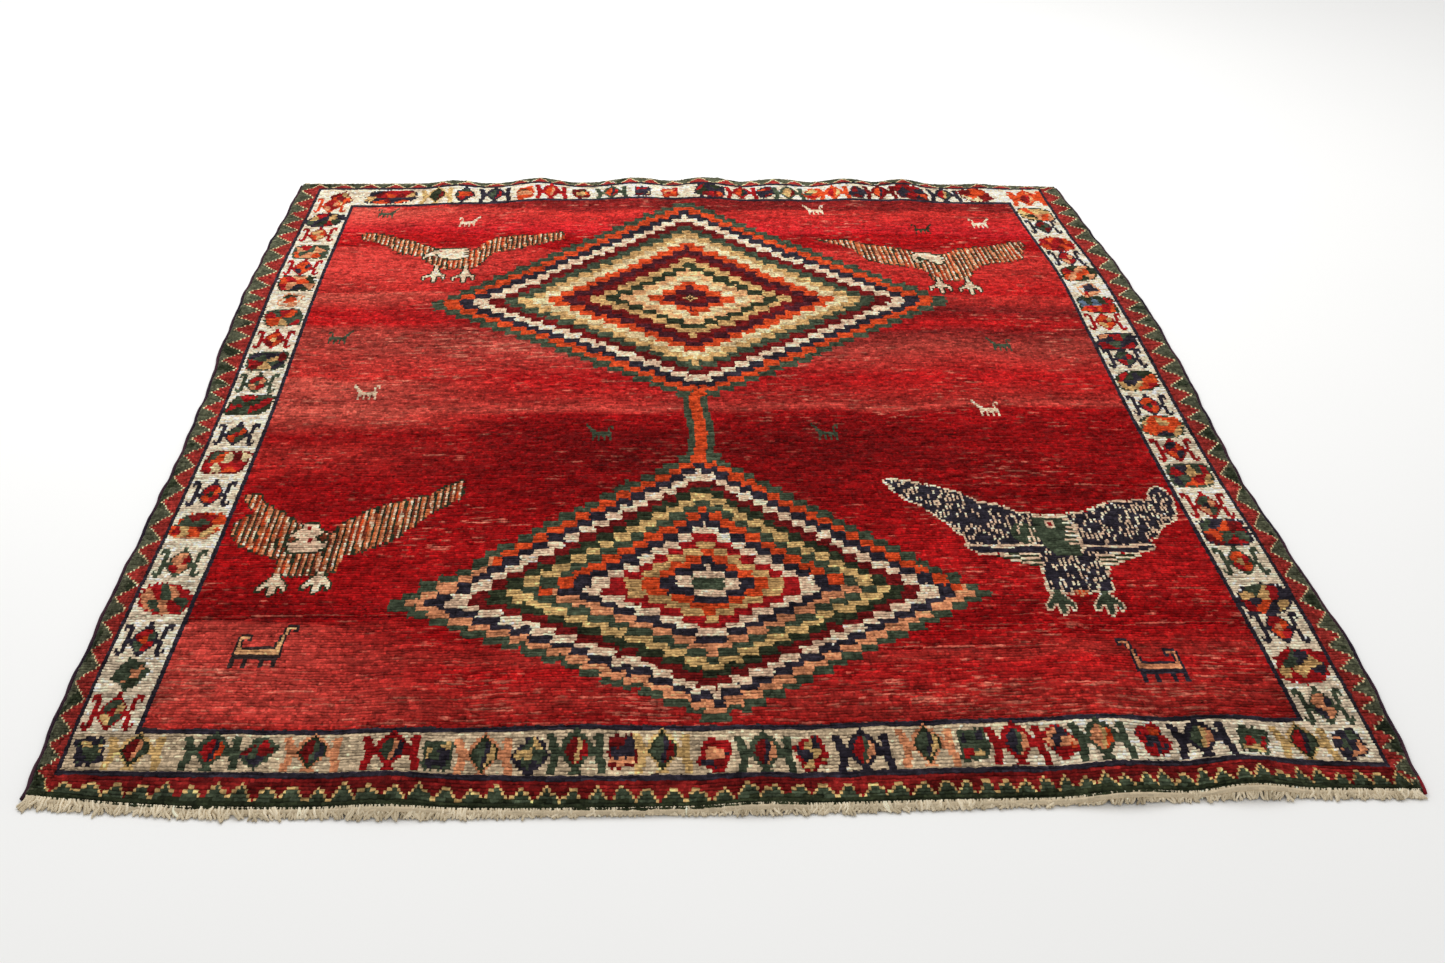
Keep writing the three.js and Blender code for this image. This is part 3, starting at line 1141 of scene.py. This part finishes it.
# %% Materials
def wool_material(name, size, speckle, shade, bump, sheen, hollow=0.0, weave=None, weave_bump=0.0):
    """A matt yarn material, with shade for the light that is lost between the fibres.

    Hollow is painted shade: it darkens the colour where the painted_shade attribute is 1, by its square,
    and weave adds woven relief.
    """
    material = bpy.data.materials.new(name)
    material.use_nodes = True
    tree = material.node_tree
    shader = tree.nodes["Principled BSDF"]
    dye = add(tree, "ShaderNodeAttribute", dict(attribute_name="dye")).outputs["Color"]
    fibres = add(tree, "ShaderNodeGroup", dict(node_tree=FIBRES), Colour=dye, Size=size, Speckle=speckle,
                 Shade=shade).outputs
    colour = fibres["Colour"]
    # Painted shade in the hollows: the colour darkens by hollow times the square of the painted_shade
    # attribute.
    if hollow:
        painted_shade = add(tree, "ShaderNodeAttribute", dict(attribute_name="painted_shade")).outputs["Fac"]
        dark = mixed(tree, 1.0, colour, (1 - hollow, 1 - hollow, 1 - hollow, 1), "MULTIPLY")
        colour = mixed(tree, math_node(tree, "POWER", painted_shade, 2.0), colour, dark)
    tree.links.new(colour, shader.inputs["Base Color"])
    shader.inputs["Roughness"].default_value = 0.95
    shader.inputs["Specular IOR Level"].default_value = 0.04
    shader.inputs["Sheen Weight"].default_value = sheen
    shader.inputs["Sheen Roughness"].default_value = 0.35
    tree.links.new(mixed(tree, 0.12, colour, (1, 1, 1, 1)), shader.inputs["Sheen Tint"])
    relief = bumped(tree, bump, fibres["Height"])
    if weave:
        across, along = weave
        woven = add(tree, "ShaderNodeGroup", dict(node_tree=WEAVE), Across=across, Along=along).outputs[0]
        relief = bumped(tree, weave_bump, woven, Normal=relief)
    tree.links.new(relief, shader.inputs["Normal"])
    return material


PILE = wool_material("wool pile", size=1.0, speckle=1.6, shade=0.93, bump=0.0012, sheen=0.80, hollow=0.80)
BACKING = wool_material(
    "rug back", size=1.3, speckle=0.5, shade=0.80, bump=0.0003, sheen=0.03,
    weave=(COLUMNS / 2, ROWS / 2), weave_bump=0.0005)
CORD_WOOL = wool_material("overcast wool", size=1.5, speckle=0.8, shade=0.80, bump=0.0006, sheen=0.05)
COTTON = wool_material(
    "fringe cotton", size=1.6, speckle=0.7, shade=1.0, bump=0.0005, sheen=0.05,
    weave=(2.0, 7.0), weave_bump=0.0002)

# %% [markdown]
# ## Meshes
# Every piece is a grid or a set of tubes worked out with numpy and handed to Blender in one go.


# %% Mesh helpers
def make_piece(name, points, faces, material, uv, dye, painted_shade=None):
    """A mesh object from points in millimetres on the nominal rug and quads.

    It has a uv for each corner, a dye for each face and, for the pile, a painted shade for each point.
    """
    mesh = bpy.data.meshes.new(name)
    metres = (points - np.array([*MIDDLE, 0])) / 1000
    mesh.vertices.add(len(metres))
    mesh.vertices.foreach_set("co", metres.astype(np.float32).ravel())
    mesh.loops.add(faces.size)
    mesh.loops.foreach_set("vertex_index", faces.astype(np.int32).ravel())
    mesh.polygons.add(len(faces))
    mesh.polygons.foreach_set("loop_start", np.arange(0, faces.size, faces.shape[1], dtype=np.int32))
    mesh.polygons.foreach_set("use_smooth", np.ones(len(faces), bool))
    mesh.update(calc_edges=True)
    mesh.uv_layers.new(name="OFBake").data.foreach_set("uv", uv.astype(np.float32).ravel())
    rgba = np.ones((len(faces), faces.shape[1], 4), np.float32)
    rgba[..., :3] = dye[:, None, :]
    mesh.attributes.new("dye", "FLOAT_COLOR", "CORNER").data.foreach_set("color", rgba.ravel())
    if painted_shade is not None:
        depths = mesh.attributes.new("painted_shade", "FLOAT", "POINT").data
        depths.foreach_set("value", painted_shade.astype(np.float32).ravel())
    mesh.materials.append(material)
    mesh.validate()
    piece = bpy.data.objects.new(name, mesh)
    bpy.context.scene.collection.objects.link(piece)
    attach(piece, "root")
    return piece


def grid_faces(rows, columns):
    """The quads of a grid of points, row by row, facing up when rows run back and columns run right."""
    first = (np.arange(rows - 1)[:, None] * columns + np.arange(columns - 1)).ravel()
    return np.stack([first, first + 1, first + columns + 1, first + columns], 1)


# %% [markdown]
# ## The pile
# Each knot is two quads long, from the hollow behind one row over its crest to the next hollow, and the crest
# leans towards the front end, the way the pile lies. At the sides and ends the pile rounds down to the floor.
# One grid for the whole pile keeps its rows connected.

# %% Points of the whole pile
SKIRT = 2  # rings of points outside the last knots, which close the pile down to the floor
HOLLOW_RANGE = 1.9  # mm between the shallowest and the deepest hollow behind a row
steps_along = np.arange(-SKIRT, HALF_ROWS + SKIRT + 1)
steps_across = np.arange(-SKIRT, COLUMNS + SKIRT + 1)
half_row = np.clip(steps_along, 0, HALF_ROWS)[:, None]
column = np.clip(steps_across, 0, COLUMNS)[None, :]
x, y, z = on_rug(column, half_row / 2)
crest = (half_row % 2) + 0 * column

outward_x = np.abs(steps_across - column)[0][None, :] * np.where(steps_across < 0, -1, 1)
outward_y = np.abs(steps_along - half_row[:, 0])[:, None] * np.where(steps_along < 0, -1, 1)[:, None]
skirt = np.maximum(np.abs(outward_x), np.abs(outward_y))

inside = skirt == 0
wavy = 4.2 * (smooth_noise(x.shape, 30, 60) - 0.5) + 1.5 * (smooth_noise(x.shape, 3, 9) - 0.5)
x = x + inside * rng.normal(0, 0.45, x.shape) + 0.25 * outward_x
y = y + inside * (wavy + rng.normal(0, 0.50, x.shape) - 0.9 * crest) + 0.5 * outward_y

mm_from_side = np.minimum(column, COLUMNS - column) * KNOT_WIDTH
mm_from_end = np.minimum(half_row, HALF_ROWS - half_row) * HALF_ROW_DEPTH
rounding = 3.2 * np.exp(-np.minimum(mm_from_side, mm_from_end) / 2.5)
hollow = 0.5 + HOLLOW_RANGE * smooth_noise(x.shape, 2, 7)
knots = 1.1 * (smooth_noise(x.shape, 2, 1.6) - 0.5) + 0.9 * (smooth_noise(x.shape, 7, 9) - 0.5)
top = THICKNESS - 0.5 - hollow * (1 - crest) - rounding + knots + rng.normal(0, 0.12, x.shape)
ragged = smooth_noise(x.shape, 2, 2.5) - 0.3
top = top + 3.4 * ragged * np.exp((half_row - HALF_ROWS) / 2.5)  # only along the back edge
pressed = np.pad(groove, (SKIRT, SKIRT + 1), mode="edge")
for crease_x, deep, start, stop in CREASES:
    on_crease = np.exp(-(((x - crease_x - 6 * np.sin(y / 90)) / 7) ** 2)) * (y > start) * (y < stop)
    top = top - deep * on_crease
top = top - 1.6 * pressed
z = z + np.choose(skirt, [top, 4.5 + 0 * top, 0.4 + 0 * top])
# Painted shade: most in deep hollows behind the rows, more in the grooves, and 0.6 on the skirt.
painted_shade = np.where(inside, (1 - crest) * np.clip(hollow / HOLLOW_RANGE, 0.15, 1) + 0.5 * pressed, 0.6)

# %% [markdown]
# The pile is one surface on the real rug. It is cut into four bands, because one mesh would be too heavy.
# Neighbouring bands share the points of a hollow, where the seam can't be seen.

# %% Four bands of pile
BANDS = 4
points = np.stack([x, y, z], -1)
for number in range(BANDS):
    start = SKIRT + number * HALF_ROWS // BANDS if number else 0
    stop = SKIRT + 1 + (number + 1) * HALF_ROWS // BANDS if number < BANDS - 1 else len(steps_along)
    block = points[start:stop]
    rows, columns = block.shape[:2]
    faces = grid_faces(rows, columns)
    face_row = np.clip(steps_along[start:stop - 1], 0, HALF_ROWS - 1)
    knot_column = np.clip(steps_across[:-1], 0, COLUMNS - 1)
    dye = colours[face_row][:, knot_column].reshape(-1, 3)
    share_across = (steps_across + SKIRT) / (COLUMNS + 2 * SKIRT)
    share_along = (steps_along[start:stop] + SKIRT) / (HALF_ROWS + 2 * SKIRT)
    uv = np.stack(np.meshgrid(share_across, share_along), -1).reshape(-1, 2)[faces]
    name = "pile_band_%d" % (number + 1)
    band = make_piece(name, block.reshape(-1, 3), faces, PILE, uv, dye, painted_shade[start:stop])
    print(band.name, "has", 2 * len(faces), "triangles")
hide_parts("knotted_body")

# %% [markdown]
# ## The back of the rug
# Underneath, each knot shows as a flat nub, so the pattern is there again, seen from the other side.
# This face is what lies on the floor. It is coarser than the pile, because it is hardly ever seen.

# %% The woven back
BACK_COLUMNS, BACK_ROWS = 134, 120
count_across = np.linspace(0, COLUMNS, BACK_COLUMNS + 1)
count_along = np.linspace(0, ROWS, BACK_ROWS + 1)
x, y, z = on_rug(count_across[None, :], count_along[:, None])
faces = grid_faces(BACK_ROWS + 1, BACK_COLUMNS + 1)[:, ::-1]
middle_row = (2 * count_along[:-1] + ROWS / BACK_ROWS).astype(int)
middle_column = (count_across[:-1] + 0.5 * COLUMNS / BACK_COLUMNS).astype(int)
u, v = np.meshgrid(count_across / COLUMNS, count_along / ROWS)
uv = np.stack([u, v], -1).reshape(-1, 2)[faces]
points = np.stack([x, y, z + 0.2], -1).reshape(-1, 3)
dye = colours[middle_row][:, middle_column].reshape(-1, 3)
back = make_piece("rug_back", points, faces, BACKING, uv, dye)


# %% [markdown]
# ## Tubes
# The side cords and the fringe strands are tubes: rings of points around a path.
# The paths of many tubes are one array, so a whole fringe is made without a loop.


# %% Tube helper
def tubes(paths, radii, sides):
    """Rings around paths: an array of tubes by stations by 3, with one radius for each station.

    Each ring stands across its path's direction, with its first point to the right.
    Gives the points, the quads and their corner uv, with u around a tube and v along it.
    """
    count, stations, _ = paths.shape
    along = np.gradient(paths, axis=1)
    along /= np.linalg.norm(along, axis=2, keepdims=True)
    side = np.cross(along, (0, 0, 1.0))
    side /= np.linalg.norm(side, axis=2, keepdims=True)
    over = np.cross(side, along)
    angle = np.arange(sides) * 2 * np.pi / sides
    ring = side[:, :, None] * np.cos(angle)[:, None] + over[:, :, None] * np.sin(angle)[:, None]
    points = paths[:, :, None] + ring * radii[:, :, None, None]
    tube, station, k = np.meshgrid(np.arange(count), np.arange(stations - 1), np.arange(sides), indexing="ij")
    base = (tube * stations + station) * sides
    after = (k + 1) % sides
    faces = np.stack([base + k, base + sides + k, base + sides + after, base + after], -1).reshape(-1, 4)
    u = np.stack([k, k, k + 1, k + 1], -1) / sides
    v = np.stack([station, station + 1, station + 1, station], -1) / (stations - 1)
    return points.reshape(-1, 3), faces, np.stack([u, v], -1).reshape(-1, 4, 2)


# %% [markdown]
# ## Side cords
# The outermost warps are overcast with dark wool, which makes a round cord down each side.
# Each turn of the yarn is a ring a little thicker than the gap beside it. At the right front corner the cord
# was mended with red yarn.


# %% Side cords
TURNS = 620
CORD_SIDES = 8
CORD_GAP = 0.3  # mm between the pile and a cord
TUBE_END = 0.3  # mm, the radius of a tube's two last rings
MENDED_SHARE = 0.016  # of the right cord's length


def side_cord(side, column, outward):
    """One cord beside the first or the last column, a tube that is thinner between the turns of its yarn."""
    station = np.linspace(0, 1, 2 * TURNS + 1)
    x, y, z = on_rug(column + 0 * station, station * ROWS)
    x = x + outward * (CORD_GAP + CORD_DIAMETER / 2) + 0.25 * np.sin(station * 190)
    turn = np.where(np.arange(2 * TURNS + 1) % 2, 1.0, 0.86)
    radius = CORD_DIAMETER / 2 * turn * (1 + 0.05 * np.sin(station * 400))
    radius[[0, -1]] = TUBE_END
    path = np.stack([x, y, z + CORD_DIAMETER / 2], -1)[None]
    points, faces, uv = tubes(path, radius[None], CORD_SIDES)
    points[:, 2] = np.maximum(points[:, 2], 0.05)
    face_station = np.repeat(np.arange(2 * TURNS), CORD_SIDES) / (2 * TURNS)
    dark, warm = linear(YARNS["cord_dark"]), linear(YARNS["cord_warm"])
    share = 0.35 + 0.35 * np.sin(face_station * 57) * np.sin(face_station * 23 + 1)
    dye = dark + (warm - dark) * share[:, None]
    if side == "right":
        mended = (face_station < MENDED_SHARE)[:, None]
        dye = np.where(mended, linear(YARNS["mended"]), dye)
    dye = dye * rng.normal(1, 0.12, (2 * TURNS, 1)).repeat(CORD_SIDES, 0)
    cord = make_piece(side + "_side_cord", points, faces, CORD_WOOL, uv, np.clip(dye, 0, 1))
    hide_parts(side + "_cord")
    print(cord.name, "has", 2 * len(faces), "triangles")


side_cord("left", 0, -1)
side_cord("right", COLUMNS, 1)

# %% [markdown]
# ## Fringes
# The fringe is the cut ends of the cotton warps, short, thick and a little curled. Two layers of strands
# leave the end of the weave at different heights, fall to the floor and spread, and neighbours lean together
# in tufts. A narrow strip, where the last wefts bind them, joins the strands at their roots. The fringe is
# more worn towards the right.


# %% Strands and strips
STRANDS = 560
STRAND_SIDES = 5
TAPER = np.array([0.85, 1.0, 1.05, 1.05, 1.0, 0.95, 0.55])  # of a strand's thickness, from root to tip
STATIONS = len(TAPER)
ROOT_HEIGHTS = (5.2, 3.0)  # mm, for the upper and the lower layer
TUFT = 8.0  # mm between the middles of the tufts that the strands gather into
FIRST_TUFT = 900  # mm from the rug's middle line to the left, beyond the cloth
STRIP_STATIONS, STRIP_SIDES = 241, 8


def strand_layer(layer, outward, row):
    """One layer of strands along an end: their paths, radii and tints.

    With t from 0 at the root to 1 at the tip, a strand falls as (1 - t)^1.4 and leans aside as t^1.5.
    The strands of a tuft lean and wear alike.
    """
    across = (np.arange(STRANDS) + 0.5 * layer + rng.uniform(-0.4, 0.4, STRANDS)) / STRANDS * COLUMNS
    across = np.clip(across, 2, COLUMNS - 2)
    x, y, z = on_rug(across, row + 0 * across)
    tuft = ((x + FIRST_TUFT) / TUFT + 0.7 * np.sin(x / 37) + 0.35 * layer).astype(int)
    to_tuft = (tuft + 0.5 - 0.35 * layer - 0.7 * np.sin(x / 37)) * TUFT - FIRST_TUFT - x
    tuft_lean = rng.normal(0, 3.6, tuft.max() + 1)[tuft]
    tuft_length = rng.normal(1, 0.13, tuft.max() + 1)[tuft]
    tuft_tint = rng.normal(1, 0.10, tuft.max() + 1)[tuft]
    worn = 0.62 + 0.38 * hump((x + 800) / 620) + 0.12 * np.sin(x / 83)
    lean = (tuft_lean + 0.45 * to_tuft + rng.normal(0, 1.2, STRANDS)) * worn
    length = (13.8 + 3.0 * layer) * worn * tuft_length * (1 + 0.08 * rng.standard_normal(STRANDS))
    curl = rng.normal(0, 2.1, STRANDS)
    phase = rng.uniform(0, 2 * np.pi, STRANDS)
    thick = rng.uniform(1.15, 1.8, STRANDS)
    t = np.linspace(0, 1, STATIONS)[None, :]
    reach = length[:, None] * (t - 0.12 * t**3)
    sway = lean[:, None] * t**1.5 + curl[:, None] * np.sin(1.6 * np.pi * t) * t**0.5
    sway += 0.7 * np.sin(9 * t + phase[:, None]) * t
    height = (z[:, None] + ROOT_HEIGHTS[layer]) * (1 - t) ** 1.4 + thick[:, None] * 1.02
    height += rng.uniform(0, 2.2, STRANDS)[:, None] * np.sin(np.pi * t) ** 2 + 1.2 * (1 - layer) * (1 - t)
    path = np.stack([x[:, None] + sway, y[:, None] + outward * (reach - 2.5), height], -1)
    # The lower layer is painted 12 percent darker: painted shade under the upper layer.
    tint = tuft_tint * rng.normal(1, 0.09, STRANDS) * (1 - 0.12 * layer)
    return path, thick[:, None] * TAPER, tint


def woven_strip(end, outward, row):
    """The narrow strip of weave along an end, as a slightly knobbly tube over the roots of the strands."""
    across = np.linspace(0, COLUMNS, STRIP_STATIONS)
    x, y, z = on_rug(across, row + 0 * across)
    path = np.stack([x, y + outward * 0.5, z + 3.9], -1)[None]
    radius = 3.3 + 0.25 * np.sin(across * 1.9)
    radius[[0, -1]] = TUBE_END
    points, faces, uv = tubes(path, radius[None], STRIP_SIDES)
    dye = linear(YARNS["strip"]) * rng.normal(1, 0.08, (len(faces), 1))
    strip = make_piece(end + "_woven_strip", points, faces, COTTON, uv, np.clip(dye, 0, 1))


# %% Fringes
for end, outward, row in (("front", -1, 0), ("back", 1, ROWS)):
    layers = [strand_layer(layer, outward, row) for layer in range(len(ROOT_HEIGHTS))]
    paths, radii, tints = (np.concatenate(parts) for parts in zip(*layers))
    points, faces, uv = tubes(paths, radii, STRAND_SIDES)
    tint = np.repeat(tints, (STATIONS - 1) * STRAND_SIDES)
    warmth = np.clip(1.35 - 0.35 * tint, 0.8, 1.2)
    yellowing = np.stack([1 + 0 * tint, warmth ** -0.3, warmth ** -0.9], -1)
    dye = linear(YARNS["cotton"]) * tint[:, None] * yellowing
    fringe = make_piece(end + "_cotton_fringe", points, faces, COTTON, uv, np.clip(dye, 0, 1))
    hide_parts(end + "_fringe")
    woven_strip(end, outward, row)
    print(fringe.name, "has", 2 * len(faces), "triangles")

# %% [markdown]
# ## Floor, light and camera
# The floor is a plain pale plane. The light is a soft white room with one large lamp overhead, so that the
# rug throws only a faint shadow. The camera stands so that the rug's four corners fall where they should.


# %% Floor
def pale_floor():
    """A wide off-white plane at the level the rug lies on."""
    mesh = bpy.data.meshes.new("floor")
    size = 9.0
    corners = [(-size, -size, 0), (size, -size, 0), (size, size, 0), (-size, size, 0)]
    mesh.from_pydata(corners, [], [(0, 1, 2, 3)])
    material = bpy.data.materials.new("pale floor")
    material.use_nodes = True
    tree = material.node_tree
    shader = tree.nodes["Principled BSDF"]
    place = add(tree, "ShaderNodeTexCoord").outputs["Object"]
    off_white = mixed(tree, noise(tree, place, 1.5, 2.0), (0.93, 0.93, 0.922, 1), (0.95, 0.95, 0.942, 1))
    tree.links.new(off_white, shader.inputs["Base Color"])
    shader.inputs["Roughness"].default_value = 0.7
    shader.inputs["Specular IOR Level"].default_value = 0.1
    mesh.materials.append(material)
    floor = bpy.data.objects.new("floor", mesh)
    bpy.context.scene.collection.objects.link(floor)
    return floor


pale_floor()

# %% Light
scene = bpy.context.scene
scene.view_settings.view_transform = "Standard"
world = bpy.data.worlds.new("soft white room")
world.use_nodes = True
world.node_tree.nodes["Background"].inputs["Color"].default_value = (1.0, 0.995, 0.985, 1)
world.node_tree.nodes["Background"].inputs["Strength"].default_value = 0.65
scene.world = world

lamp = bpy.data.lights.new("overhead lamp", "AREA")
lamp.shape = "RECTANGLE"
lamp.size, lamp.size_y = 3.4, 2.2
lamp.energy = 62
lamp_object = bpy.data.objects.new("overhead lamp", lamp)
lamp_object.location = (-0.45, 1.5, 2.5)
lamp_object.rotation_euler = (math.radians(-18), math.radians(-6), 0)
scene.collection.objects.link(lamp_object)

# %% Camera
camera = bpy.data.cameras.new("camera")
camera.sensor_width = 36
camera.lens = 40.93
camera.shift_x = 0.02528
camera_object = bpy.data.objects.new("camera", camera)
camera_object.location = (-0.1275, -2.2901, 1.2516)
camera_object.rotation_euler = (math.radians(58.61), math.radians(-0.99), math.radians(-1.865))
scene.collection.objects.link(camera_object)
scene.camera = camera_object
